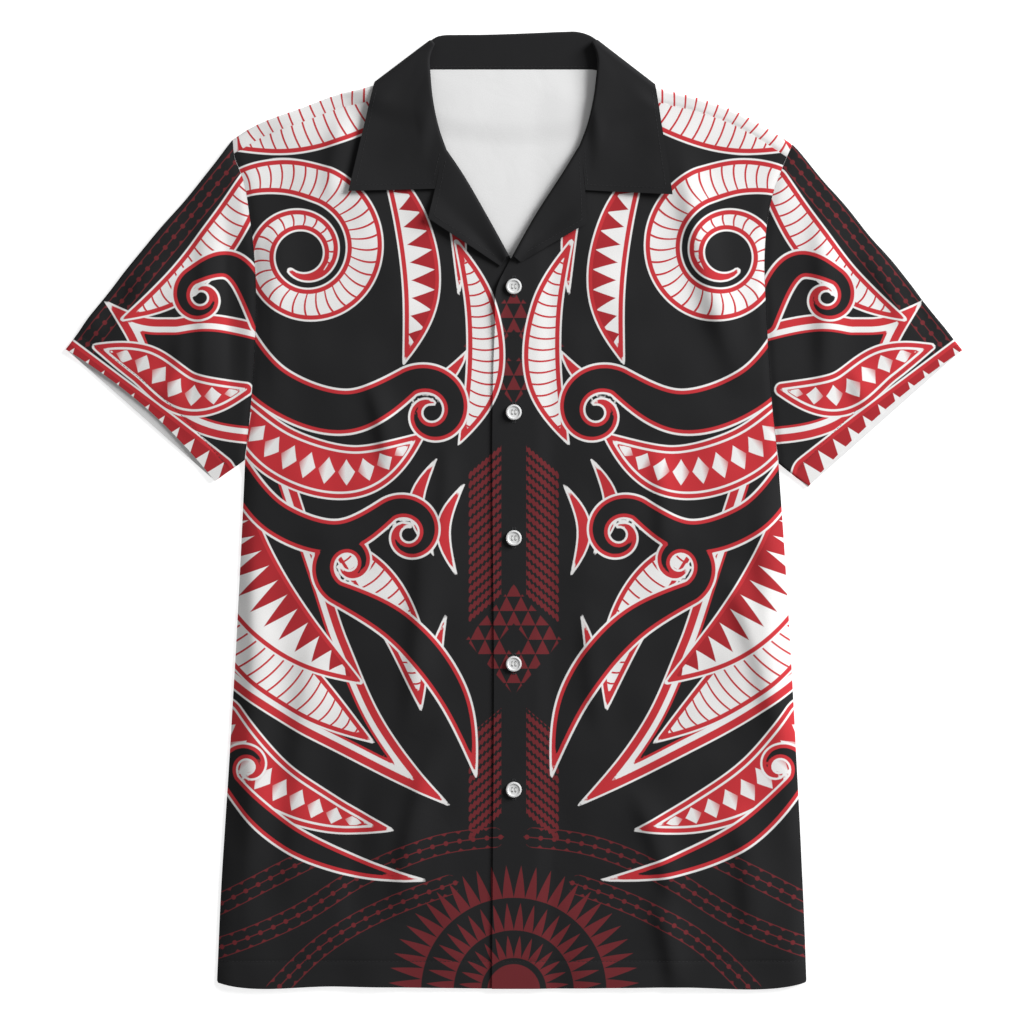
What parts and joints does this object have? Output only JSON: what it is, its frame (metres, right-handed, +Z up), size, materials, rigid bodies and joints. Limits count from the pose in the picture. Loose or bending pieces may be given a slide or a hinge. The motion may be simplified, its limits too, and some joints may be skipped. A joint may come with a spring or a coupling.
{
  "type": "hawaiian shirt",
  "caption": "Short-sleeved camp-collar shirt, buttoned at the front and laid flat on its back, with turned-out lapels and a straight hem.",
  "frame": {"origin": "middle of the laid-out shirt in plan, on the surface that it lies on", "axes": "+X to the wearer's left, +Y from the hem to the collar, +Z up out of the shirt's front"},
  "size_m": [0.7171, 0.7659, 0.0108],
  "materials": {
    "printed_cloth": "matt woven cotton with an all-over print",
    "black_cloth": "matt black woven cotton",
    "button": "polished white"
  },
  "bodies": {
    "root": {"back": "printed_cloth", "front_right": "printed_cloth", "front_left": "printed_cloth", "sleeve_right": "printed_cloth", "sleeve_left": "printed_cloth", "lapel_right": "black_cloth", "lapel_left": "black_cloth", "collar": "black_cloth", "button_1": "button", "button_2": "button", "button_3": "button", "button_4": "button", "button_5": "button"}
  },
  "joints": []
}
